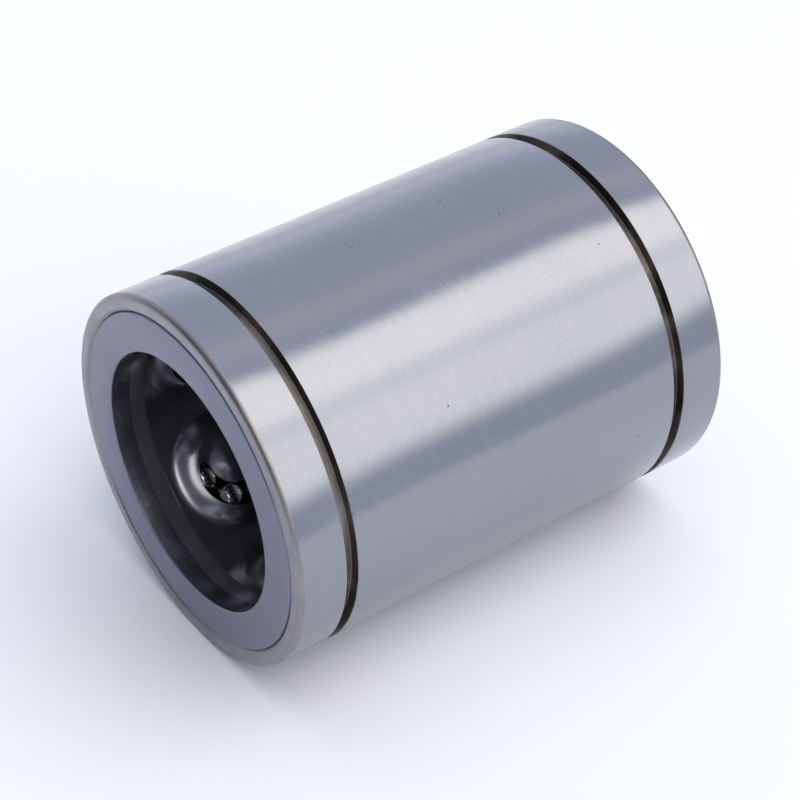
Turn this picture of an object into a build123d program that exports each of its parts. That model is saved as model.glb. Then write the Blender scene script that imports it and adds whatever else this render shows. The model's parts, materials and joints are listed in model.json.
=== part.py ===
"""Closed linear ball bushing for a 63.5 mm (2.5 in) shaft, built as its separate pieces.

The bore runs along Y. The origin is the middle of the bore at half the length, and +Z is up.
The pieces are one outer cylinder, one pressed sheet retainer, two end rings and six closed ball
circuits. Each circuit is four groups of balls: the loaded row, the return row and the two turns.
"""
import os
from math import cos, pi, radians, sin, sqrt

from build123d import *

# Envelope: the inch series size for a 2.5 in shaft.
SHAFT_D = 63.5
OUTER_D = 95.25
LENGTH = 127.0

# Retaining-ring grooves in the outer cylinder.
GROOVE_SPAN = 101.04  # over the outer walls of the two grooves
GROOVE_WIDTH = 3.05
GROOVE_D = 90.22

# Edges of the outer cylinder.
OUTER_CORNER = 1.45
MOUTH_D = 88.1
MOUTH_CHAMFER = 0.85

# End rings.
RING_BORE_D = 66.4
RING_WALL = 5.2  # length of the ring's own bore wall
RING_REBATE = 1.2  # depth of the rebate that centres the retainer's neck
RING_RECESS = 0.15  # the ring's face lies this far inside the sleeve's face
RING_FIT = 0.02  # radial gap between ring and sleeve
RING_CORNER = 0.6
RING_BORE_CHAMFER = 0.3

# Ball circuits.
CIRCUITS = 6
FIRST_CIRCUIT_ANGLE = -13.9  # of the loop's centre line, from +X towards +Z
BALL_D = 7.9375
PITCH = 8.0  # from ball to ball, and the radius of each turn
ROW_BALLS = 9
TURN_ANGLES = (30, 90, 150)  # of the balls in a turn, from the loaded row's end
CIRCUIT_TILT = 6.0  # lifts the return row clear of the shaft

# Retainer.
SHEET = 1.0
PANEL_APOTHEM = 34.4  # inner faces of the six panels
PANEL_FOLD_R = 7.5  # inner radius of the folds between two panels
NECK_LENGTH = 3.2  # from the end wall to the neck's free end
TRACK_GAP = 0.08  # between a ball and the trough that guides it
SLOT_HALF_WIDTH = 3.2
SLOT_END_ANGLE = 113.6  # how far round each turn the slot runs
SHAFT_GAP = 0.35  # between the ridges and the shaft
SLEEVE_GAP = 0.16  # between the panels' corners and the raceway
NECK_GAP = 0.05  # between the neck's end and the ring
NECK_FIT = 0.1  # radial gap between the neck and the ring's rebate

# Inside of the outer cylinder.
RACEWAY_GAP = 0.07  # between a loaded ball and the raceway
RELIEF_GAP = 0.23  # between the other balls and their relief

BALL_R = BALL_D / 2
LOAD_CENTRE_R = SHAFT_D / 2 + BALL_R
RACEWAY_R = LOAD_CENTRE_R + BALL_R + RACEWAY_GAP
STRAIGHT = ROW_BALLS * PITCH
TRACK_R = BALL_R + TRACK_GAP
RIDGE_R = TRACK_R + SHEET
TILT = radians(CIRCUIT_TILT)
LOOP_HEIGHT = sqrt(LOAD_CENTRE_R**2 - (PITCH * cos(TILT)) ** 2) + PITCH * sin(TILT)
RETURN_CENTRE_R = sqrt((LOOP_HEIGHT + PITCH * sin(TILT)) ** 2 + (PITCH * cos(TILT)) ** 2)
RELIEF_R = RETURN_CENTRE_R + BALL_R + RELIEF_GAP
RELIEF_START = STRAIGHT / 2 - 2.4
RELIEF_END = STRAIGHT / 2 + PITCH + TRACK_R + 0.6
RING_LENGTH = RING_WALL + RING_REBATE
RING_FACE_Y = LENGTH / 2 - RING_RECESS
SHOULDER_Y = RING_FACE_Y - RING_LENGTH
SEAT_R = MOUTH_D / 2 - MOUTH_CHAMFER
NECK_BORE_R = RING_BORE_D / 2
NECK_END_Y = RING_FACE_Y - RING_WALL - NECK_GAP
WALL_END_Y = NECK_END_Y - NECK_LENGTH
PANEL_END_Y = WALL_END_Y - SHEET


def turned(*edges):
    """Solid of revolution about the bore's axis, from a closed outline of (radius, y)."""
    return revolve(make_face(edges), Axis.Y)


def tube(inner_r, outer_r, y_low, y_high):
    outline = Polyline((inner_r, y_low), (outer_r, y_low), (outer_r, y_high), (inner_r, y_high), close=True)
    return turned(*outline.edges())


def disc(radius, y_low, y_high):
    return tube(0, radius, y_low, y_high)


def circuit_angle(index):
    return FIRST_CIRCUIT_ANGLE + index * 360 / CIRCUITS


def circuit_plane(index):
    """Plane of one ball circuit: x from the loaded row to the return row, y along the bore, z outward."""
    angle = radians(circuit_angle(index))
    outward = Vector(cos(angle), 0, sin(angle))
    sideways = Vector(sin(angle), 0, -cos(angle))
    x_dir = sideways * cos(TILT) + outward * sin(TILT)
    z_dir = outward * cos(TILT) - sideways * sin(TILT)
    return Plane(origin=outward * LOOP_HEIGHT, x_dir=x_dir, z_dir=z_dir)


def outer_cylinder():
    half = LENGTH / 2
    outer_r = OUTER_D / 2
    mouth_r = MOUTH_D / 2
    corner_start = (outer_r - OUTER_CORNER, half)
    corner_end = (outer_r, half - OUTER_CORNER)
    inner_end = [(SEAT_R, SHOULDER_Y), (SEAT_R, half - MOUTH_CHAMFER), (mouth_r, half), corner_start]
    inner_wall = [
        (RACEWAY_R, 0),
        (RACEWAY_R, RELIEF_START),
        (RELIEF_R, RELIEF_START),
        (RELIEF_R, RELIEF_END),
        (RACEWAY_R, RELIEF_END),
        (RACEWAY_R, SHOULDER_Y),
    ]
    corner = TangentArc(corner_start, corner_end, tangent=(1, 0))
    body = turned(
        Polyline(*inner_wall, *inner_end), corner, Polyline(corner_end, (outer_r, 0), (RACEWAY_R, 0))
    )
    body += mirror(body, Plane.XZ)
    groove_end = GROOVE_SPAN / 2
    groove = tube(GROOVE_D / 2, outer_r + 1, groove_end - GROOVE_WIDTH, groove_end)
    body -= groove + mirror(groove, Plane.XZ)
    channel = Plane.XZ * Circle(RELIEF_R - RETURN_CENTRE_R)
    channel = extrude(channel, amount=RELIEF_START + 1, both=True)
    for index in range(CIRCUITS):
        plane = circuit_plane(index)
        body -= Pos(plane.from_local_coords((PITCH, 0, 0))) * channel
    return body


def end_ring():
    """Ring at the rear; its outer face looks along +Y."""
    bore_r = RING_BORE_D / 2
    outer_r = SEAT_R - RING_FIT
    neck_r = NECK_BORE_R + SHEET + NECK_FIT
    corner_start = (outer_r, RING_FACE_Y - RING_CORNER)
    corner_end = (outer_r - RING_CORNER, RING_FACE_Y)
    inner = [
        (bore_r + RING_BORE_CHAMFER, RING_FACE_Y),
        (bore_r, RING_FACE_Y - RING_BORE_CHAMFER),
        (bore_r, RING_FACE_Y - RING_WALL),
        (neck_r, RING_FACE_Y - RING_WALL),
        (neck_r, SHOULDER_Y),
        (outer_r, SHOULDER_Y),
        corner_start,
    ]
    corner = TangentArc(corner_start, corner_end, tangent=(0, 1))
    return turned(Polyline(corner_end, *inner), corner)


def six_sided_bar(apothem, fold_r, half_length):
    """Solid bar along Y with a flat side over each circuit and rounded folds between them."""
    corner_r = apothem / cos(pi / CIRCUITS)
    corners = []
    for index in range(CIRCUITS):
        angle = radians(circuit_angle(index + 0.5))
        corners.append((corner_r * cos(angle), corner_r * sin(angle)))
    outline = make_face(Polyline(*corners, close=True))
    outline = fillet(outline.vertices(), fold_r)
    return extrude(Plane.XZ * outline, amount=half_length, both=True)


def track_outline():
    """Race-track centre line of the balls, in the circuit's plane."""
    half = STRAIGHT / 2
    load_side = Line((-PITCH, -half), (-PITCH, half))
    rear_turn = ThreePointArc((-PITCH, half), (0, half + PITCH), (PITCH, half))
    return_side = Line((PITCH, half), (PITCH, -half))
    front_turn = ThreePointArc((PITCH, -half), (0, -half - PITCH), (-PITCH, -half))
    return Wire([load_side, rear_turn, return_side, front_turn])


def track_tube(radius):
    section = Plane(origin=(-PITCH, -STRAIGHT / 2, 0), x_dir=(1, 0, 0), z_dir=(0, 1, 0)) * Circle(radius)
    return sweep(section, path=track_outline())


def track_slab(half_width, height):
    """The race-track band, raised outward from the circuit's plane."""
    outer = SlotCenterToCenter(STRAIGHT, 2 * (PITCH + half_width), rotation=90)
    inner = SlotCenterToCenter(STRAIGHT, 2 * (PITCH - half_width), rotation=90)
    return extrude(outer - inner, amount=height)


def slot_edge(side):
    """Rear half of one edge of the slot; side is +1 for the outer edge and -1 for the inner one."""
    half = STRAIGHT / 2
    points = []
    for step in range(5):
        share = step / 4
        angle = radians(SLOT_END_ANGLE * share)
        radius = PITCH + side * SLOT_HALF_WIDTH * sqrt(1 - share**2)
        points.append((-radius * cos(angle), half + radius * sin(angle)))
    curve = Spline(*points, tangents=[(0, 1), (cos(angle), -side * sin(angle))])
    return Line((points[0][0], 0), points[0]), curve


def slot_cutter():
    """J-shaped slot: along the loaded row and part of the way round each turn."""
    outer_line, outer_curve = slot_edge(1)
    inner_line, inner_curve = slot_edge(-1)
    close = Line(inner_line @ 0, outer_line @ 0)
    half = make_face([outer_line, outer_curve, inner_curve, inner_line, close])
    outline = half + mirror(half, Plane.XZ)
    return extrude(outline, amount=-2 * RIDGE_R)


def ball_retainer():
    ridge_bore_r = SHAFT_D / 2 + SHAFT_GAP
    corner_limit = disc(RACEWAY_R - SLEEVE_GAP, -WALL_END_Y, WALL_END_Y)
    outside = six_sided_bar(PANEL_APOTHEM + SHEET, PANEL_FOLD_R + SHEET, WALL_END_Y) & corner_limit
    inside = six_sided_bar(PANEL_APOTHEM, PANEL_FOLD_R, PANEL_END_Y)
    neck_space = disc(NECK_BORE_R, -LENGTH, LENGTH)
    shell = outside - inside - neck_space
    ridge = track_tube(RIDGE_R)
    channel = track_tube(TRACK_R) + track_slab(TRACK_R, RIDGE_R)
    slot = slot_cutter()
    shaft_space = disc(ridge_bore_r, -LENGTH, LENGTH)
    for index in range(CIRCUITS):
        location = circuit_plane(index).location
        shell += (location * ridge & outside) - shaft_space
    for index in range(CIRCUITS):
        location = circuit_plane(index).location
        shell -= location * channel
        shell -= location * slot
    neck = tube(NECK_BORE_R, NECK_BORE_R + SHEET, WALL_END_Y - SHEET / 2, NECK_END_Y)
    return shell + neck + mirror(neck, Plane.XZ)


def row_of_balls(index, side):
    """side is -1 for the loaded row and +1 for the return row."""
    plane = circuit_plane(index)
    balls = []
    for number in range(ROW_BALLS):
        y = (number - (ROW_BALLS - 1) / 2) * PITCH
        balls.append(Pos(plane.from_local_coords((side * PITCH, y, 0))) * Sphere(BALL_R))
    return balls


def turn_of_balls(index, end):
    """end is -1 for the front turn and +1 for the rear one."""
    plane = circuit_plane(index)
    balls = []
    for degrees in TURN_ANGLES:
        angle = radians(degrees)
        centre = (-PITCH * cos(angle), end * (STRAIGHT / 2 + PITCH * sin(angle)), 0)
        balls.append(Pos(plane.from_local_coords(centre)) * Sphere(BALL_R))
    return balls


def write(node, solids):
    export_step(Compound(children=solids), f"parts/{node}.step")


def main():
    os.makedirs("parts", exist_ok=True)
    rear_ring = end_ring()
    write("outer_cylinder", [outer_cylinder().solid()])
    write("ball_retainer", [ball_retainer().solid()])
    write("end_ring_rear", [rear_ring.solid()])
    write("end_ring_front", [mirror(rear_ring, Plane.XZ).solid()])
    for index in range(CIRCUITS):
        name = f"circuit_{index + 1}"
        write(f"{name}_loaded_row_balls", row_of_balls(index, -1))
        write(f"{name}_return_row_balls", row_of_balls(index, 1))
        write(f"{name}_front_turn_balls", turn_of_balls(index, -1))
        write(f"{name}_rear_turn_balls", turn_of_balls(index, 1))


main()
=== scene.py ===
"""Looks of the closed linear ball bushing: finer pieces over the CAD frame, their steels, and the studio.

Lengths are millimetres in the drawing functions and become metres when a mesh is made. The bore runs
along Y, +Z is up, and every piece of revolution is drawn as (radius, y).
"""

import json
from math import acos, atan2, cos, hypot, pi, radians, sin, sqrt, tan

import bmesh
import bpy
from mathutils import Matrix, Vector


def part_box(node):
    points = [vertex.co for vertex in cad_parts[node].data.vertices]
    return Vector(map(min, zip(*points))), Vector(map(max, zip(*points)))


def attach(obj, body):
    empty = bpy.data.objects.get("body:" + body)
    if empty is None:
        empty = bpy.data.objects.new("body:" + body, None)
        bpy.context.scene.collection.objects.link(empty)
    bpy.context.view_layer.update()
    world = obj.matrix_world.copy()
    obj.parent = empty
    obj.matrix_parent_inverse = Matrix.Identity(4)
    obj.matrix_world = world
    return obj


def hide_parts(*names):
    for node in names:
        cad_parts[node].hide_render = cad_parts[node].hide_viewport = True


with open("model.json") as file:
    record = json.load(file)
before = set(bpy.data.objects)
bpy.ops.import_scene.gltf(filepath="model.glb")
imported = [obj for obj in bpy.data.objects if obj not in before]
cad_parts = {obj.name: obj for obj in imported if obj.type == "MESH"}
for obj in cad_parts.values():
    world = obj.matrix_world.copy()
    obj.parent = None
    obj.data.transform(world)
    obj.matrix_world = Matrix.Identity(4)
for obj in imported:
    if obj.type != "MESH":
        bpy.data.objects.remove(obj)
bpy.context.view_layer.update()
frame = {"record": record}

MM = 0.001
MOUNTS = {mount["name"]: mount for mount in frame["record"]["mounts"]}


def node_box(node):
    """A CAD node's lowest and highest corners in millimetres, to the nearest micron."""
    return [[round(value / MM, 3) for value in corner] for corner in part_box(node)]


# Sizes that the frame states.
OUTER_R = MOUNTS["housing_seat"]["dims"]["r_mm"]
SHAFT_R = MOUNTS["shaft_passage"]["dims"]["r_mm"]
HALF_LENGTH = MOUNTS["shaft_passage"]["dims"]["length_mm"] / 2
GROOVE_R = MOUNTS["rear_ring_groove"]["dims"]["r_mm"]
GROOVE_WIDTH = MOUNTS["rear_ring_groove"]["dims"]["length_mm"]
GROOVE_END = MOUNTS["rear_ring_groove"]["pos_m"][1] / MM + GROOVE_WIDTH / 2
RING_LOW, RING_HIGH = node_box("end_ring_rear")
RING_R = RING_HIGH[0]
SHOULDER_Y = RING_LOW[1]
RING_FACE_Y = RING_HIGH[1]
NECK_END_Y = node_box("ball_retainer")[1][1]

# Balls and their circuits.
CIRCUITS = 6
CIRCUIT_STEP = 2 * pi / CIRCUITS
FIRST_CIRCUIT_ANGLE = radians(-13.9)
TILT = radians(6.0)  # of a circuit's plane, which lifts its return row off the shaft
BALL_R = 3.96875
PITCH = 8.0  # from ball to ball, and the radius of each turn
ROW_BALLS = 9
TURN_ANGLES = (30, 90, 150)  # of the balls in a turn, from the loaded row's end
HALF_STRAIGHT = ROW_BALLS * PITCH / 2
LOAD_R = SHAFT_R + BALL_R  # of the loaded balls' centres
LOOP_HEIGHT = sqrt(LOAD_R**2 - (PITCH * cos(TILT)) ** 2) + PITCH * sin(TILT)
RETURN_ANGLE = atan2(PITCH * cos(TILT), LOOP_HEIGHT + PITCH * sin(TILT))
RETURN_R = hypot(PITCH * cos(TILT), LOOP_HEIGHT + PITCH * sin(TILT))

# Outer cylinder.
OUTER_CORNER = 1.45
MOUTH_R = 44.05
MOUTH_CHAMFER = 0.85
SEAT_R = MOUTH_R - MOUTH_CHAMFER
RACEWAY_R = LOAD_R + BALL_R + 0.07  # with the loaded balls' play
RELIEF_R = RETURN_R + BALL_R + 0.23  # with the other balls' clearance
RELIEF_START = HALF_STRAIGHT - 2.4
RELIEF_END = HALF_STRAIGHT + PITCH + BALL_R + 0.68  # past the turns' last balls
CHANNEL_R = RELIEF_R - RETURN_R  # of the channel behind each return row

# End rings.
RING_WALL = 5.2  # length of the ring's own bore wall
RING_BORE_R = 33.2
RING_REBATE_R = 34.3  # of the rebate that centres the retainer's neck
RING_CORNER = 0.6
RING_CHAMFER = 0.3

# Retainer.
SHEET = 1.0
THINNEST = 0.15  # of the sheet at the slot's rim
APOTHEM = 34.4  # inner faces of the six panels
BEND_R = 7.5  # of the folds between two panels
RIDGE_R = BALL_R + 0.08 + SHEET  # with the balls' play
# Slope of a ridge's side, as (distance from the track's centre line, rise over run).
RIDGE_SLOPES = (
    (0.0, 0.0),
    (1.1, 0.0),
    (1.9, 0.37),
    (3.6, 0.47),
    (4.7, 0.66),
    (6.0, 0.60),
    (7.0, 0.34),
    (8.4, 0.0),
)
SHAFT_SPACE_R = SHAFT_R + 0.15  # that the ridges leave free
BALL_SPACE_R = 4.0  # that the sheet leaves free round the track's centre line
SLOT_HALF_WIDTH = 3.2
SLOT_END = radians(113.6)  # how far round each turn the slot runs
NECK_R = RING_BORE_R
NECK_LENGTH = 3.2
PANEL_END_Y = NECK_END_Y - NECK_LENGTH - SHEET
FOLD_R = 0.9  # of the fold from a panel into the end wall
NECK_FOLD_R = 0.03  # of the edge between the end wall and the neck
PANEL_ORDER = tuple(reversed(range(CIRCUITS)))  # the way a circuit's x runs round the bore

# Fineness of the meshes.
CHANNEL_COLUMNS = 16
LAND_COLUMNS = 50
RING_COLUMNS = 288
BEND_COLUMNS = 10
SHEET_STEP = 0.52
PLAIN_STEP = 3.0  # along the retainer's middle, up to PLAIN_END_Y, where nothing changes
PLAIN_END_Y = 33.0
LAST_STEP = 0.5  # before the fold into the end wall
BALL_SUBDIVISIONS = 4

SAME = 0.01  # sizes closer than this are the same
FLOOR_Z = -OUTER_R * MM
LIGHT = 1.23  # level of all the lights together


# ---------------------------------------------------------------- mesh helpers


def new_object(name, vertices, faces, materials, zones=None, sharp_angle=28):
    """Mesh object from points in millimetres; zones gives each face its material index."""
    mesh = bpy.data.meshes.new(name)
    mesh.from_pydata([(x * MM, y * MM, z * MM) for x, y, z in vertices], [], faces)
    for material in materials:
        mesh.materials.append(material)
    if zones:
        mesh.polygons.foreach_set("material_index", zones)
    mesh.shade_smooth()
    mesh.set_sharp_from_angle(angle=radians(sharp_angle))
    mesh.update()
    piece = bpy.data.objects.new(name, mesh)
    bpy.context.scene.collection.objects.link(piece)
    return piece


def arc(centre, radius, start, end, steps):
    """Points of an arc in an outline, from one angle in degrees to another; 0 is outward, 90 is +Y."""
    points = []
    for step in range(steps + 1):
        angle = radians(start + (end - start) * step / steps)
        points.append((centre[0] + radius * cos(angle), centre[1] + radius * sin(angle)))
    return points


def mirrored(runs):
    """The same runs of outline at the front, in reverse order so that the outline goes on."""
    flipped = []
    for zone, points in reversed(runs):
        flipped.append((zone, [(r, -y) for r, y in reversed(points)]))
    return flipped


def doubled_area(outline):
    """Twice the area inside a closed outline, above 0 if it runs counter-clockwise."""
    after = outline[1:] + outline[:1]
    return sum(r * next_y - next_r * y for (r, y), (next_r, next_y) in zip(outline, after))


def lathe(name, runs, angles, materials, radius_at=None):
    """Closed outline turned about Y. Each run is (zone, points), and starts where the last one ends."""
    outline = []
    zones = []
    for zone, points in runs:
        for point in points[:-1]:
            outline.append(point)
            zones.append(zone)
    count = len(outline)
    vertices = []
    for angle in angles:
        for r, y in outline:
            radius = radius_at(r, y, angle) if radius_at else r
            vertices.append((radius * cos(angle), y, radius * sin(angle)))
    turned_out = doubled_area(outline) > 0
    faces = []
    face_zones = []
    columns = len(angles)
    for column in range(columns):
        here = column * count
        there = (column + 1) % columns * count
        for step in range(count):
            after = (step + 1) % count
            face = (here + step, here + after, there + after, there + step)
            faces.append(face if turned_out else face[::-1])
            face_zones.append(zones[step])
    return new_object(name, vertices, faces, materials, face_zones)


def even_angles(count):
    return [2 * pi * index / count for index in range(count)]


# ---------------------------------------------------------------- outer cylinder


def channel_half_angle():
    """Half the angle at the axis that a return channel takes out of the raceway."""
    return acos((RACEWAY_R**2 + RETURN_R**2 - CHANNEL_R**2) / (2 * RACEWAY_R * RETURN_R))


def channel_angle(index):
    """Where a circuit's return channel lies, round the axis."""
    return circuit_angle(index) - RETURN_ANGLE


def sleeve_angles():
    """Columns about 1 degree apart, closer in the return channels."""
    half = channel_half_angle()
    land = CIRCUIT_STEP - 2 * half
    angles = []
    for index in range(CIRCUITS):
        start = channel_angle(index) - half
        angles += [start + 2 * half * step / CHANNEL_COLUMNS for step in range(CHANNEL_COLUMNS)]
        angles += [start + 2 * half + land * step / LAND_COLUMNS for step in range(LAND_COLUMNS)]
    return angles


def sleeve_radius(r, y, angle):
    """The outline's radius, or the return channel's where the raceway has one."""
    if abs(r - RACEWAY_R) > SAME or abs(y) > RELIEF_START + SAME:
        return r
    off = (angle - channel_angle(0) + CIRCUIT_STEP / 2) % CIRCUIT_STEP - CIRCUIT_STEP / 2
    reach = CHANNEL_R**2 - (RETURN_R * sin(off)) ** 2
    if abs(off) > channel_half_angle() or reach < 0:
        return r
    return max(r, RETURN_R * cos(off) + sqrt(reach))


def sleeve_runs():
    """The sleeve's outline, a run to each finish."""
    ground, corner, rim, groove, bore = range(5)
    edge = 0.12  # broken edges of the groove
    root = 0.25  # radius in the groove's bottom corners
    ease = 0.08  # eases the chamfer's upper edge
    groove_start = GROOVE_END - GROOVE_WIDTH
    inside = [(RACEWAY_R, 0)]
    inside += [(RACEWAY_R, RELIEF_START * step / 4) for step in (1, 2, 3, 4)]
    inside += [(RELIEF_R, RELIEF_START), (RELIEF_R, RELIEF_END), (RACEWAY_R, RELIEF_END)]
    inside += [(RACEWAY_R, SHOULDER_Y), (SEAT_R, SHOULDER_Y), (SEAT_R, HALF_LENGTH - MOUTH_CHAMFER)]
    chamfer = [inside[-1], (MOUTH_R - ease, HALF_LENGTH - ease), (MOUTH_R + ease, HALF_LENGTH)]
    flat = [chamfer[-1], (OUTER_R - OUTER_CORNER, HALF_LENGTH)]
    corner_centre = (OUTER_R - OUTER_CORNER, HALF_LENGTH - OUTER_CORNER)
    rounded = arc(corner_centre, OUTER_CORNER, 90, 0, 14)
    end_land = [rounded[-1], (OUTER_R, (HALF_LENGTH + GROOVE_END) / 2), (OUTER_R, GROOVE_END + edge)]
    recess = [end_land[-1]]
    recess += arc((OUTER_R - edge, GROOVE_END + edge), edge, 0, -90, 4)[1:]
    recess += arc((GROOVE_R + root, GROOVE_END - root), root, 90, 180, 5)
    recess += arc((GROOVE_R + root, groove_start + root), root, 180, 270, 5)
    recess += arc((OUTER_R - edge, groove_start - edge), edge, 90, 0, 4)
    main_land = [recess[-1], (OUTER_R, HALF_LENGTH / 2), (OUTER_R, HALF_LENGTH / 4), (OUTER_R, 0)]
    rear = [
        (bore, inside),
        (corner, chamfer),
        (rim, flat),
        (corner, rounded),
        (ground, end_land),
        (groove, recess),
        (ground, main_land),
    ]
    return rear + mirrored(rear)


def outer_cylinder(looks):
    materials = [looks[key] for key in ("ground", "corner", "rim", "groove", "raceway")]
    piece = lathe("outer_cylinder_turned", sleeve_runs(), sleeve_angles(), materials, sleeve_radius)
    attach(piece, "housing")
    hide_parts("outer_cylinder")


# ---------------------------------------------------------------- end rings


def end_ring(end, node, looks):
    """end is -1 for the front ring and +1 for the rear one."""
    face, bore, hidden = range(3)
    ease = 0.1  # eases the chamfer's two edges
    corner = arc((RING_R - RING_CORNER, RING_FACE_Y - RING_CORNER), RING_CORNER, 0, 90, 8)
    lip = [
        (RING_BORE_R + RING_CHAMFER + ease, RING_FACE_Y),
        (RING_BORE_R + RING_CHAMFER - 0.6 * ease, RING_FACE_Y - 0.5 * ease),
        (RING_BORE_R + 0.4 * ease, RING_FACE_Y - RING_CHAMFER + 0.6 * ease),
        (RING_BORE_R, RING_FACE_Y - RING_CHAMFER - ease),
    ]
    wall_end = RING_FACE_Y - RING_WALL
    wall = [lip[-1], (RING_BORE_R, wall_end + ease)]
    back = [wall[-1], (RING_BORE_R + ease, wall_end), (RING_REBATE_R, wall_end)]
    back += [(RING_REBATE_R, SHOULDER_Y), (RING_R, SHOULDER_Y), corner[0]]
    middle = (RING_BORE_R + RING_R) / 2
    runs = [(face, corner + [(middle, RING_FACE_Y), lip[0]]), (face, lip), (bore, wall), (hidden, back)]
    if end < 0:
        runs = mirrored(runs)
    materials = [looks[key] for key in ("ring_face", "ring_bore", "raceway")]
    piece = lathe(f"{node}_turned", runs, even_angles(RING_COLUMNS), materials)
    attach(piece, "housing")
    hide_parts(node)


# ---------------------------------------------------------------- circuits


def circuit_angle(index):
    """Where a circuit's centre line lies, round the axis."""
    return FIRST_CIRCUIT_ANGLE + index * CIRCUIT_STEP


def circuit_axes(index):
    """Directions outward and sideways of a circuit's panel, as (x, z)."""
    angle = circuit_angle(index)
    return (cos(angle), sin(angle)), (sin(angle), -cos(angle))


def from_panel(index, side, y, out):
    """Point at a distance sideways along the panel and outward from the axis."""
    outward, sideways = circuit_axes(index)
    return (outward[0] * out + sideways[0] * side, y, outward[1] * out + sideways[1] * side)


def from_circuit(index, x, y, z):
    """Point in a circuit's tilted plane: x from loaded to return row, y along the bore, z outward."""
    side = x * cos(TILT) - z * sin(TILT)
    out = LOOP_HEIGHT + x * sin(TILT) + z * cos(TILT)
    return from_panel(index, side, y, out)


def track_distance(x, y):
    """Distance in the circuit's plane from the balls' race-track centre line."""
    past = abs(y) - HALF_STRAIGHT
    if past < 0:
        return abs(abs(x) - PITCH)
    return abs(hypot(x, past) - PITCH)


def slot_distance(x, y):
    """Below 0 inside the slot over the loaded row, which narrows to nothing part way round a turn."""
    past = abs(y) - HALF_STRAIGHT
    if past < 0:
        return abs(x + PITCH) - SLOT_HALF_WIDTH
    share = atan2(past, -x) / SLOT_END
    if share >= 1:
        return abs(hypot(x, past) - PITCH)
    return abs(hypot(x, past) - PITCH) - SLOT_HALF_WIDTH * sqrt(1 - share**2)


# ---------------------------------------------------------------- retainer


def ridge_drop(distance):
    """How far a ridge's side has fallen away from its top at a distance from the centre line."""
    drop = 0.0
    for (near, near_slope), (far, far_slope) in zip(RIDGE_SLOPES, RIDGE_SLOPES[1:]):
        if distance <= near:
            break
        run = min(distance, far) - near
        slope = near_slope + (far_slope - near_slope) * run / (far - near)
        drop += run * (near_slope + slope) / 2
    return drop


def ridge_share(distance):
    """Height of a ridge's profile, 1 on its top and 0 at its foot."""
    return 1 - ridge_drop(distance) / ridge_drop(RIDGE_SLOPES[-1][0])


def to_circuit(side, out):
    """(x, z) in the circuit's tilted plane of a point sideways along the panel and outward."""
    rise = out - LOOP_HEIGHT
    return side * cos(TILT) + rise * sin(TILT), rise * cos(TILT) - side * sin(TILT)


def top_height(x, level):
    """How far a ridge's top stands inward of the sheet there: round the balls, but clear of the shaft."""
    full = level + RIDGE_R
    side = x * cos(TILT)
    lowest = sqrt(SHAFT_SPACE_R**2 - side**2)
    clear = level - (lowest - LOOP_HEIGHT - x * sin(TILT)) / cos(TILT)
    return min(full, clear)


def spaced(start, end, step):
    """Values from start up to but not including end, about a step apart."""
    count = max(1, round(abs(end - start) / step))
    return [start + (end - start) * index / count for index in range(count)]


def panel_columns():
    """Columns of one panel and the fold after it, as (sideways, outward) on the unpressed sheet."""
    reach = (APOTHEM - BEND_R) * tan(pi / CIRCUITS)
    columns = [(side, APOTHEM) for side in spaced(-reach, reach, SHEET_STEP)]
    for step in range(BEND_COLUMNS):
        angle = CIRCUIT_STEP * step / BEND_COLUMNS
        columns.append((reach + BEND_R * sin(angle), APOTHEM - BEND_R + BEND_R * cos(angle)))
    return columns


def panel_rows():
    """Rows from the middle of the retainer to the end of its panels."""
    last = PANEL_END_Y - FOLD_R
    fine = spaced(PLAIN_END_Y, last - LAST_STEP, SHEET_STEP)
    return spaced(0, PLAIN_END_Y, PLAIN_STEP) + fine + [last]


def pressed_point(index, side, out, y):
    """Point of the sheet's inner face over one of the unpressed sheet, and its place in the circuit."""
    x, level = to_circuit(side, out)
    share = ridge_share(track_distance(x, y))
    z = level - top_height(x, level) * share if share > 0 else level
    return from_circuit(index, x, y, z), (x, y)


def sheet_point(index, column, y):
    """As pressed_point, for a column; a fold's far half belongs to the next panel."""
    side, out = column
    angle = atan2(side, out)
    if angle <= CIRCUIT_STEP / 2:
        return pressed_point(index, side, out, y)
    radius = hypot(side, out)
    angle -= CIRCUIT_STEP
    point, _ = pressed_point(index - 1, radius * sin(angle), radius * cos(angle), y)
    return point, None


def end_profile(radius):
    """From a panel's end at that radius into the end wall and out along the neck, as (radius, y)."""
    first = arc((radius - FOLD_R, PANEL_END_Y - FOLD_R), FOLD_R, 0, 90, 5)
    second = arc((NECK_R + NECK_FOLD_R, PANEL_END_Y + NECK_FOLD_R), NECK_FOLD_R, 270, 180, 5)
    return first[1:] + second + [(NECK_R, (PANEL_END_Y + NECK_END_Y) / 2), (NECK_R, NECK_END_Y)]


def facing_front(point, plan):
    """The same place on the front half of the sheet."""
    x, y, z = point
    return (x, -y, z), plan and (plan[0], -plan[1])


def sheet_grid():
    """Columns round the retainer, each a list of (point, place in the circuit or None), front to rear."""
    rows = panel_rows()
    grid = []
    for index in PANEL_ORDER:
        for column in panel_columns():
            rear = [sheet_point(index, column, y) for y in rows]
            x, _, z = rear[-1][0]
            radius = hypot(x, z)
            for r, y in end_profile(radius):
                rear.append(((x * r / radius, y, z * r / radius), None))
            grid.append([facing_front(*entry) for entry in reversed(rear[1:])] + rear)
    return grid


def between(a, b, share):
    """Point part of the way from one plan point to another."""
    return a[0] + (b[0] - a[0]) * share, a[1] + (b[1] - a[1]) * share


def cross_slot(a, b):
    """Share of the way from plan point a to b at which the slot's edge is crossed, found by halving."""
    low, high = 0.0, 1.0
    inside = slot_distance(*a) < 0
    for _ in range(30):
        share = (low + high) / 2
        if (slot_distance(*between(a, b, share)) < 0) == inside:
            low = share
        else:
            high = share
    return (low + high) / 2


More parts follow.
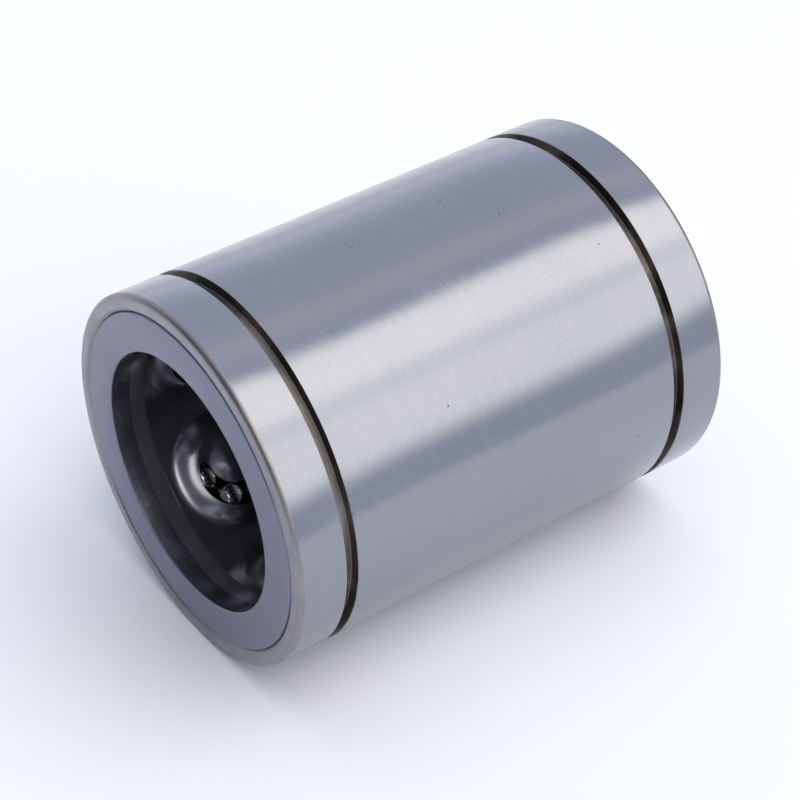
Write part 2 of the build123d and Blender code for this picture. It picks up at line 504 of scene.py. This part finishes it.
class SlottedSheet:
    """Vertices and faces of the sheet's inner face, with the slots cut cleanly along their outlines."""

    def __init__(self):
        grid = sheet_grid()
        self.vertices = [point for column in grid for point, _ in column]
        self.plans = [plan for column in grid for _, plan in column]
        self.crossings = {}
        self.faces = []
        count = len(grid[0])
        per_panel = len(grid) // CIRCUITS
        for column in range(len(grid)):
            here = column * count
            there = (column + 1) % len(grid) * count
            index = PANEL_ORDER[column // per_panel]
            for row in range(count - 1):
                self.add_face((here + row, here + row + 1, there + row + 1, there + row), index)

    def add_face(self, loop, index):
        """Adds what the slot leaves of one face of the grid."""
        if any(self.plans[vertex] is None for vertex in loop):
            self.faces.append(loop)
            return
        inside = [slot_distance(*self.plans[vertex]) < 0 for vertex in loop]
        kept = []
        for corner, vertex in enumerate(loop):
            after = (corner + 1) % len(loop)
            if not inside[corner]:
                kept.append(vertex)
            if inside[corner] != inside[after]:
                kept.append(self.crossing(vertex, loop[after], index))
        if kept:
            self.faces.append(tuple(kept))

    def crossing(self, one, two, index):
        """The vertex where the slot's outline crosses an edge of the grid."""
        key = (min(one, two), max(one, two))
        if key not in self.crossings:
            a, b = (self.plans[vertex] for vertex in key)
            x, y = between(a, b, cross_slot(a, b))
            side = (x - (APOTHEM - LOOP_HEIGHT) * sin(TILT)) / cos(TILT)
            self.crossings[key] = len(self.vertices)
            self.vertices.append(pressed_point(index, side, APOTHEM, y)[0])
        return self.crossings[key]


def track_gap(point):
    """Distance in space from a point of the sheet to the nearest track centre line."""
    x, y, z = point
    index = round((atan2(z, x) - FIRST_CIRCUIT_ANGLE) / CIRCUIT_STEP)
    outward, sideways = circuit_axes(index)
    side = x * sideways[0] + z * sideways[1]
    out = x * outward[0] + z * outward[1]
    plan_x, height = to_circuit(side, out)
    return hypot(track_distance(plan_x, y), height)


def pointing_out(normal, point):
    """The normal, turned to point out of the retainer: along Y on an end wall, else away from the axis."""
    x, y, z = point
    on_end_wall = abs(normal.y) > 0.95
    if on_end_wall:
        return normal if normal.y * y > 0 else -normal
    return normal if normal.x * x + normal.z * z > 0 else -normal


def without_loose(vertices, faces):
    """The vertices that a face uses, the faces renumbered to them, and the vertices' normals."""
    mesh = bpy.data.meshes.new("sheet_face")
    mesh.from_pydata(vertices, [], faces)
    mesh.update()
    used = sorted({vertex for face in faces for vertex in face})
    number = {old: new for new, old in enumerate(used)}
    normals = [mesh.vertices[vertex].normal.copy() for vertex in used]
    bpy.data.meshes.remove(mesh)
    faces = [tuple(number[vertex] for vertex in face) for face in faces]
    return [vertices[vertex] for vertex in used], faces, normals


def thicken(vertices, faces):
    """Gives the sheet its thickness, outward, thinner where its ball-side face would touch the balls."""
    inner, faces, normals = without_loose(vertices, faces)
    outer = []
    for point, normal in zip(inner, normals):
        thickness = min(SHEET, max(THINNEST, track_gap(point) - BALL_SPACE_R))
        outer.append(tuple(Vector(point) + pointing_out(normal, point) * thickness))
    count = len(inner)
    edges = [edge for face in faces for edge in zip(face, face[1:] + face[:1])]
    known = set(edges)
    rims = [(one, two) for one, two in edges if (two, one) not in known]
    solid = list(faces)
    solid += [tuple(vertex + count for vertex in reversed(face)) for face in faces]
    solid += [(two, one, one + count, two + count) for one, two in rims]
    return inner + outer, solid


def ball_retainer(looks):
    sheet = SlottedSheet()
    vertices, faces = thicken(sheet.vertices, sheet.faces)
    piece = new_object("ball_retainer_pressed", vertices, faces, [looks["pressed"]], sharp_angle=38)
    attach(piece, "housing")
    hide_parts("ball_retainer")


# ---------------------------------------------------------------- balls


def sphere_mesh(subdivisions):
    """Vertices and faces of a ball about the origin."""
    shape = bmesh.new()
    bmesh.ops.create_icosphere(shape, subdivisions=subdivisions, radius=BALL_R)
    vertices = [tuple(v.co) for v in shape.verts]
    faces = [tuple(v.index for v in face.verts) for face in shape.faces]
    shape.free()
    return vertices, faces


def ball_group(node, centres, looks, ball):
    """Balls of one group; ball is the vertices and faces of one about the origin."""
    vertices = []
    faces = []
    for centre in centres:
        start = len(vertices)
        vertices += [(x + centre[0], y + centre[1], z + centre[2]) for x, y, z in ball[0]]
        faces += [tuple(vertex + start for vertex in face) for face in ball[1]]
    piece = new_object(f"{node}_polished", vertices, faces, [looks["ball"]], sharp_angle=80)
    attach(piece, node.removesuffix("_balls"))
    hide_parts(node)


def all_balls(looks):
    ball = sphere_mesh(BALL_SUBDIVISIONS)
    row = [(number - (ROW_BALLS - 1) / 2) * PITCH for number in range(ROW_BALLS)]
    for index in range(CIRCUITS):
        name = f"circuit_{index + 1}"
        for part, side in (("loaded_row", -1), ("return_row", 1)):
            centres = [from_circuit(index, side * PITCH, y, 0) for y in row]
            ball_group(f"{name}_{part}_balls", centres, looks, ball)
        for part, end in (("front_turn", -1), ("rear_turn", 1)):
            centres = []
            for turn in TURN_ANGLES:
                angle = radians(turn)
                y = end * (HALF_STRAIGHT + PITCH * sin(angle))
                centres.append(from_circuit(index, -PITCH * cos(angle), y, 0))
            ball_group(f"{name}_{part}_balls", centres, looks, ball)


# ---------------------------------------------------------------- materials


class Nodes:
    """The node tree of a material or a world; most methods add one node and return its output."""

    def __init__(self, owner):
        owner.use_nodes = True
        self.tree = owner.node_tree
        self.tree.nodes.clear()

    def node(self, kind, **settings):
        node = self.tree.nodes.new(kind)
        for key, value in settings.items():
            setattr(node, key, value)
        return node

    def feed(self, socket, value):
        """Gives a socket a number or colour, or another node's output."""
        if isinstance(value, bpy.types.NodeSocket):
            self.tree.links.new(value, socket)
        else:
            socket.default_value = value

    def math(self, operation, one, two=0.0):
        node = self.node("ShaderNodeMath", operation=operation)
        self.feed(node.inputs[0], one)
        self.feed(node.inputs[1], two)
        return node.outputs[0]


class Steel(Nodes):
    """A metal material."""

    def __init__(self, name):
        self.material = bpy.data.materials.new(name)
        super().__init__(self.material)
        self.place = self.node("ShaderNodeTexCoord").outputs["Object"]

    def stretched(self, scale):
        """Object coordinates in metres, scaled along each axis."""
        node = self.node("ShaderNodeVectorMath", operation="MULTIPLY")
        self.feed(node.inputs[0], self.place)
        self.feed(node.inputs[1], scale)
        return node.outputs[0]

    def noise(self, vector, scale=1.0, detail=3.0, roughness=0.55):
        node = self.node("ShaderNodeTexNoise")
        self.feed(node.inputs["Vector"], vector)
        self.feed(node.inputs["Scale"], scale)
        self.feed(node.inputs["Detail"], detail)
        self.feed(node.inputs["Roughness"], roughness)
        return node.outputs["Fac"]

    def radius(self):
        """Distance from the bore's axis, in metres."""
        split = self.node("ShaderNodeSeparateXYZ")
        self.feed(split.inputs[0], self.place)
        square = self.math("MULTIPLY", split.outputs[0], split.outputs[0])
        other = self.math("MULTIPLY", split.outputs[2], split.outputs[2])
        return self.math("SQRT", self.math("ADD", square, other))

    def along(self):
        """Place along the bore, in metres."""
        split = self.node("ShaderNodeSeparateXYZ")
        self.feed(split.inputs[0], self.place)
        return split.outputs[1]

    def dots(self, scale, low, high):
        """1 in small scattered dots, 0 elsewhere; low and high bound the dot's soft edge, in cells."""
        node = self.node("ShaderNodeTexVoronoi")
        self.feed(node.inputs["Vector"], self.place)
        self.feed(node.inputs["Scale"], scale)
        return self.ramp(node.outputs["Distance"], low, high, 1.0, 0.0)

    def rings(self, scale):
        """Noise that changes with the radius only: concentric turning marks."""
        node = self.node("ShaderNodeTexNoise", noise_dimensions="1D")
        self.feed(node.inputs["W"], self.radius())
        self.feed(node.inputs["Scale"], scale)
        self.feed(node.inputs["Detail"], 3.0)
        return node.outputs["Fac"]

    def ramp(self, value, low, high, out_low=0.0, out_high=1.0):
        node = self.node("ShaderNodeMapRange", clamp=True)
        self.feed(node.inputs["Value"], value)
        self.feed(node.inputs["From Min"], low)
        self.feed(node.inputs["From Max"], high)
        self.feed(node.inputs["To Min"], out_low)
        self.feed(node.inputs["To Max"], out_high)
        return node.outputs["Result"]

    def mix(self, share, one, two):
        """One colour where share is 0, the other where it is 1."""
        node = self.node("ShaderNodeMix", data_type="RGBA")
        self.feed(node.inputs["Factor"], share)
        self.feed(node.inputs[6], one)  # colour A
        self.feed(node.inputs[7], two)  # colour B
        return node.outputs[2]

    def bump(self, height, distance, strength=1.0, under=None):
        node = self.node("ShaderNodeBump")
        self.feed(node.inputs["Height"], height)
        self.feed(node.inputs["Distance"], distance)
        self.feed(node.inputs["Strength"], strength)
        if under is not None:
            self.feed(node.inputs["Normal"], under)
        return node.outputs[0]

    def finish(self, colour, roughness, normal=None, anisotropy=0.0, metallic=1.0):
        """The finished material; anisotropy draws the reflections out across marks round the bore."""
        node = self.node("ShaderNodeBsdfPrincipled")
        self.feed(node.inputs["Base Color"], colour)
        self.feed(node.inputs["Metallic"], metallic)
        self.feed(node.inputs["Roughness"], roughness)
        if normal is not None:
            self.feed(node.inputs["Normal"], normal)
        if anisotropy:
            tangent = self.node("ShaderNodeTangent", direction_type="RADIAL", axis="Y")
            self.feed(node.inputs["Anisotropic"], anisotropy)
            self.feed(node.inputs["Anisotropic Rotation"], 0.25)
            self.feed(node.inputs["Tangent"], tangent.outputs[0])
        output = self.node("ShaderNodeOutputMaterial")
        self.tree.links.new(node.outputs[0], output.inputs["Surface"])
        return self.material


def rgb(red, green, blue):
    return (red, green, blue, 1.0)


def ground_steel():
    """Cylindrically ground outside: fine marks round it, pale specks and a few pits."""
    steel = Steel("ground_steel_outside")
    fine = steel.noise(steel.stretched((12, 5200, 12)), detail=4.0, roughness=0.7)
    broad = steel.noise(steel.stretched((9, 420, 9)), detail=2.0)
    cloud = steel.noise(steel.stretched((26, 26, 26)), detail=3.0)
    specks = steel.noise(steel.place, scale=1500.0, detail=2.0, roughness=0.65)
    wave = steel.noise(steel.place, scale=38.0, detail=1.0)
    tone = steel.mix(steel.ramp(cloud, 0.3, 0.7), rgb(0.283, 0.296, 0.332), rgb(0.304, 0.316, 0.352))
    tone = steel.mix(steel.ramp(fine, 0.35, 0.75, 0.0, 0.3), tone, rgb(0.373, 0.381, 0.421))
    tone = steel.mix(steel.ramp(specks, 0.60, 0.74, 0.0, 0.4), tone, rgb(0.446, 0.446, 0.47))
    pits = steel.dots(110.0, 0.02, 0.04)
    tone = steel.mix(steel.math("MULTIPLY", pits, 0.8), tone, rgb(0.024, 0.024, 0.028))
    rough = steel.ramp(broad, 0.3, 0.7, 0.16, 0.22)
    rough = steel.math("ADD", rough, steel.ramp(specks, 0.60, 0.74, 0.0, 0.06))
    normal = steel.bump(fine, 0.0000012, 1.0, under=steel.bump(wave, 0.00006, 1.0))
    return steel.finish(tone, rough, normal, anisotropy=0.6)


def corner_steel():
    """Unground rounded corner and chamfer: brownish scale with fine specks."""
    steel = Steel("unground_corner")
    speck = steel.noise(steel.place, scale=2600.0, detail=2.0, roughness=0.7)
    patch = steel.noise(steel.place, scale=90.0, detail=3.0)
    tone = steel.mix(steel.ramp(patch, 0.35, 0.65), rgb(0.243, 0.239, 0.259), rgb(0.332, 0.312, 0.292))
    tone = steel.mix(steel.ramp(speck, 0.55, 0.72, 0.0, 0.7), tone, rgb(0.454, 0.437, 0.421))
    normal = steel.bump(speck, 0.00002, 0.5)
    return steel.finish(tone, steel.ramp(patch, 0.3, 0.7, 0.34, 0.46), normal)


def rim_steel():
    """Turned end face of the outer cylinder."""
    steel = Steel("turned_rim")
    lines = steel.rings(5200.0)
    patch = steel.noise(steel.place, scale=120.0, detail=3.0)
    tone = steel.mix(steel.ramp(patch, 0.35, 0.65), rgb(0.251, 0.255, 0.296), rgb(0.316, 0.316, 0.352))
    normal = steel.bump(lines, 0.000003, 1.0)
    return steel.finish(tone, steel.ramp(lines, 0.3, 0.7, 0.26, 0.34), normal, anisotropy=0.4)


def groove_steel():
    """Turned groove after hardening: dark brown walls, paler blotches on the bottom."""
    steel = Steel("turned_groove")
    blotch = steel.noise(steel.place, scale=60.0, detail=4.0)
    speck = steel.noise(steel.place, scale=1500.0, detail=2.0)
    tone = steel.mix(steel.ramp(blotch, 0.46, 0.62), rgb(0.138, 0.126, 0.117), rgb(0.316, 0.292, 0.267))
    tone = steel.mix(steel.ramp(speck, 0.6, 0.75, 0.0, 0.5), tone, rgb(0.324, 0.308, 0.275))
    normal = steel.bump(speck, 0.00001, 0.5)
    return steel.finish(tone, steel.ramp(blotch, 0.3, 0.7, 0.32, 0.45), normal)


def raceway_steel():
    """Ground inside surfaces."""
    steel = Steel("ground_inside")
    fine = steel.noise(steel.stretched((20, 3000, 20)), detail=3.0)
    tone = steel.mix(steel.ramp(fine, 0.35, 0.65), rgb(0.267, 0.267, 0.292), rgb(0.324, 0.324, 0.348))
    return steel.finish(tone, steel.ramp(fine, 0.3, 0.7, 0.2, 0.28), steel.bump(fine, 0.000001, 1.0))


def ring_face():
    """Satin turned face of an end ring, with fine concentric marks."""
    steel = Steel("turned_ring_face")
    lines = steel.rings(6500.0)
    cloud = steel.noise(steel.place, scale=45.0, detail=3.0)
    tone = steel.mix(steel.ramp(cloud, 0.3, 0.7), rgb(0.19, 0.198, 0.259), rgb(0.219, 0.227, 0.292))
    normal = steel.bump(lines, 0.0000025, 1.0)
    return steel.finish(tone, steel.ramp(lines, 0.3, 0.7, 0.28, 0.38), normal, anisotropy=0.5)


def ring_bore():
    """Bored wall of an end ring: dark and smooth, with dust and faint smears on it."""
    steel = Steel("bored_ring_wall")
    fine = steel.noise(steel.stretched((14, 2600, 14)), detail=3.0)
    smear = steel.noise(steel.place, scale=70.0, detail=3.0, roughness=0.6)
    specks = steel.noise(steel.place, scale=900.0, detail=2.0, roughness=0.6)
    dust = steel.math("MULTIPLY", steel.ramp(specks, 0.54, 0.66), steel.ramp(smear, 0.42, 0.62))
    tone = steel.mix(steel.ramp(fine, 0.35, 0.65), rgb(0.138, 0.142, 0.174), rgb(0.186, 0.19, 0.227))
    tone = steel.mix(steel.math("MULTIPLY", dust, 0.3), tone, rgb(0.292, 0.3, 0.34))
    metal = steel.math("SUBTRACT", 0.9, steel.math("MULTIPLY", dust, 0.1))
    rough = steel.ramp(smear, 0.35, 0.65, 0.2, 0.3)
    return steel.finish(tone, rough, steel.bump(fine, 0.0000015, 1.0), anisotropy=0.5, metallic=metal)


def pressed_steel():
    """Pressed and polished sheet: dark purple grey, faintly cloudy, duller on the necks."""
    steel = Steel("pressed_polished_sheet")
    cloud = steel.noise(steel.place, scale=55.0, detail=3.0)
    skin = steel.noise(steel.place, scale=1400.0, detail=3.0, roughness=0.6)
    tone = steel.mix(steel.ramp(cloud, 0.3, 0.7), rgb(0.283, 0.275, 0.304), rgb(0.332, 0.324, 0.356))
    normal = steel.bump(skin, 0.0000025, 1.0)
    from_middle = steel.math("ABSOLUTE", steel.along())
    metal = steel.ramp(from_middle, (PANEL_END_Y - 0.2) * MM, (PANEL_END_Y + 0.1) * MM, 0.93, 0.85)
    return steel.finish(tone, steel.ramp(cloud, 0.3, 0.7, 0.20, 0.27), normal, metallic=metal)


def ball_steel():
    """Lapped balls: nearly a mirror, with a trace of oil film in the colour."""
    steel = Steel("lapped_ball")
    film = steel.noise(steel.place, scale=160.0, detail=2.0)
    tone = steel.mix(steel.ramp(film, 0.35, 0.65), rgb(0.34, 0.34, 0.356), rgb(0.405, 0.397, 0.405))
    return steel.finish(tone, steel.ramp(film, 0.3, 0.7, 0.05, 0.09))


def steels():
    """Every material, by the name that the pieces ask for."""
    return {
        "ground": ground_steel(),
        "corner": corner_steel(),
        "rim": rim_steel(),
        "groove": groove_steel(),
        "raceway": raceway_steel(),
        "ring_face": ring_face(),
        "ring_bore": ring_bore(),
        "pressed": pressed_steel(),
        "ball": ball_steel(),
    }


# ---------------------------------------------------------------- studio


def stage_piece(name, vertices, faces, material):
    """A piece of the studio, from points in metres."""
    mesh = bpy.data.meshes.new(name)
    mesh.from_pydata(vertices, [], faces)
    mesh.materials.append(material)
    piece = bpy.data.objects.new(name, mesh)
    bpy.context.scene.collection.objects.link(piece)
    return piece


def floor():
    size = 6.0
    material = bpy.data.materials.new("pale_floor")
    material.use_nodes = True
    shader = material.node_tree.nodes["Principled BSDF"]
    shader.inputs["Base Color"].default_value = rgb(0.86, 0.88, 0.93)
    shader.inputs["Roughness"].default_value = 0.9
    shader.inputs["Specular IOR Level"].default_value = 0.0
    corners = [(x * size, y * size, FLOOR_Z) for x, y in ((-1, -1), (1, -1), (1, 1), (-1, 1))]
    stage_piece("floor", corners, [(0, 1, 2, 3)], material)


def glowing(name, colour, strength):
    """Material that gives off light."""
    material = bpy.data.materials.new(name)
    nodes = Nodes(material)
    glow = nodes.node("ShaderNodeEmission")
    nodes.feed(glow.inputs["Color"], colour)
    nodes.feed(glow.inputs["Strength"], strength)
    output = nodes.node("ShaderNodeOutputMaterial")
    nodes.feed(output.inputs["Surface"], glow.outputs[0])
    return material


def horizon_card():
    """Low curved grey wall on the right that only reflections see: the dim far edge of the table."""
    distance = 0.33
    bottom = FLOOR_Z + 0.0005
    top = 0.035
    start = radians(-45)
    span = radians(150)
    sides = 32
    vertices = []
    for side in range(sides + 1):
        angle = start + span * side / sides
        for height in (bottom, top):
            vertices.append((distance * cos(angle), distance * sin(angle), height))
    faces = [(2 * side, 2 * side + 1, 2 * side + 3, 2 * side + 2) for side in range(sides)]
    material = glowing("horizon_grey", rgb(0.57, 0.61, 0.72), LIGHT)
    card = stage_piece("horizon_card", vertices, faces, material)
    card.visible_camera = False
    card.visible_diffuse = False
    card.visible_shadow = False


class Sky(Nodes):
    """The studio's surroundings by direction: soft boxes are bands about the bore's axis."""

    def __init__(self):
        self.world = bpy.data.worlds.new("studio")
        super().__init__(self.world)
        split = self.node("ShaderNodeSeparateXYZ")
        self.feed(split.inputs[0], self.node("ShaderNodeTexCoord").outputs["Generated"])
        self.along = split.outputs[1]
        turn = self.math("ARCTAN2", split.outputs[2], split.outputs[0])
        self.turn = self.math("MULTIPLY", turn, 180 / pi)
        self.colour = (0.0, 0.0, 0.0)

    def step(self, value, start, end):
        """Soft step from 0 at start to 1 at end; start may be the higher of the two."""
        node = self.node("ShaderNodeMapRange", interpolation_type="SMOOTHSTEP")
        self.feed(node.inputs["Value"], value)
        self.feed(node.inputs["From Min"], min(start, end))
        self.feed(node.inputs["From Max"], max(start, end))
        self.feed(node.inputs["To Min"], 0.0 if start < end else 1.0)
        self.feed(node.inputs["To Max"], 1.0 if start < end else 0.0)
        return node.outputs["Result"]

    def band(self, start, start_soft, end, end_soft):
        """Share of a band from one angle to another about the bore's axis; 0 is +X and 90 is up."""
        rise = self.step(self.turn, start - start_soft, start + start_soft)
        fall = self.step(self.turn, end + end_soft, end - end_soft)
        return self.math("MULTIPLY", rise, fall)

    def light(self, colour, *shares):
        """Adds light of that colour where all the shares are 1."""
        share = 1.0
        for factor in shares:
            share = self.math("MULTIPLY", factor, share)
        scale = self.node("ShaderNodeVectorMath", operation="SCALE")
        self.feed(scale.inputs[0], colour)
        self.feed(scale.inputs["Scale"], share)
        total = self.node("ShaderNodeVectorMath", operation="ADD")
        self.feed(total.inputs[0], self.colour)
        self.feed(total.inputs[1], scale.outputs[0])
        self.colour = total.outputs[0]

    def finish(self):
        background = self.node("ShaderNodeBackground")
        self.feed(background.inputs["Color"], self.colour)
        self.feed(background.inputs["Strength"], LIGHT)
        output = self.node("ShaderNodeOutputWorld")
        self.feed(output.inputs["Surface"], background.outputs[0])
        bpy.context.scene.world = self.world


def surroundings():
    """Soft blue-grey room, two large soft boxes on the right, a small one in front, a paler left."""
    sky = Sky()
    rear_end = sky.step(sky.along, 0.93, 0.78)
    front_end = sky.step(sky.along, -0.44, -0.34)
    ahead = sky.step(sky.along, -0.05, -0.20)
    beside = sky.step(sky.along, -0.20, -0.05)
    sky.light((0.12, 0.13, 0.155))
    sky.light((0.28, 0.30, 0.355), sky.step(sky.along, -0.50, -0.38), rear_end)
    sky.light((0.20, 0.22, 0.26), beside, rear_end)
    sky.light((0.24, 0.235, 0.25), sky.step(sky.turn, 145.0, 185.0))
    sky.light((0.16, 0.10, 0.06), sky.band(97.0, 8.0, 112.0, 10.0))
    sky.light((0.80, 0.73, 0.58), sky.band(9.0, 6.0, 84.0, 3.5), beside, rear_end)
    sky.light((0.46, 0.40, 0.34), sky.band(54.0, 6.0, 81.0, 4.0), beside, rear_end)
    sky.light((0.20, 0.18, 0.18), sky.band(15.0, 6.0, 44.0, 4.0), beside, rear_end)
    sky.light((3.0, 2.85, 2.65), sky.band(41.0, 14.0, 60.0, 14.0), ahead, front_end)
    sky.finish()


def overhead_light():
    """Large soft light that only brightens the table; reflections don't see it."""
    light = bpy.data.lights.new("overhead", "AREA")
    light.shape = "DISK"
    light.size = 1.8
    light.energy = 4.3 * LIGHT
    light.color = (0.93, 0.96, 1.0)
    lamp = bpy.data.objects.new("overhead", light)
    lamp.location = (0.1, 0.0, 1.3)
    lamp.visible_glossy = False
    bpy.context.scene.collection.objects.link(lamp)


def studio():
    """Plain pale floor and soft light."""
    floor()
    overhead_light()
    horizon_card()
    surroundings()


def camera():
    """The camera, placed and aimed in metres."""
    data = bpy.data.cameras.new("camera")
    data.sensor_width = 36.0
    data.lens = 107.46
    eye = bpy.data.objects.new("camera", data)
    eye.location = (0.3701, -0.2750, 0.3695)
    eye.rotation_euler = Vector((-0.6232, 0.4624, -0.6308)).to_track_quat("-Z", "Y").to_euler()
    bpy.context.scene.collection.objects.link(eye)
    bpy.context.scene.camera = eye


# ---------------------------------------------------------------- the scene

looks = steels()
outer_cylinder(looks)
end_ring(-1, "end_ring_front", looks)
end_ring(1, "end_ring_rear", looks)
ball_retainer(looks)
all_balls(looks)
studio()
camera()
bpy.context.scene.view_settings.view_transform = "Standard"
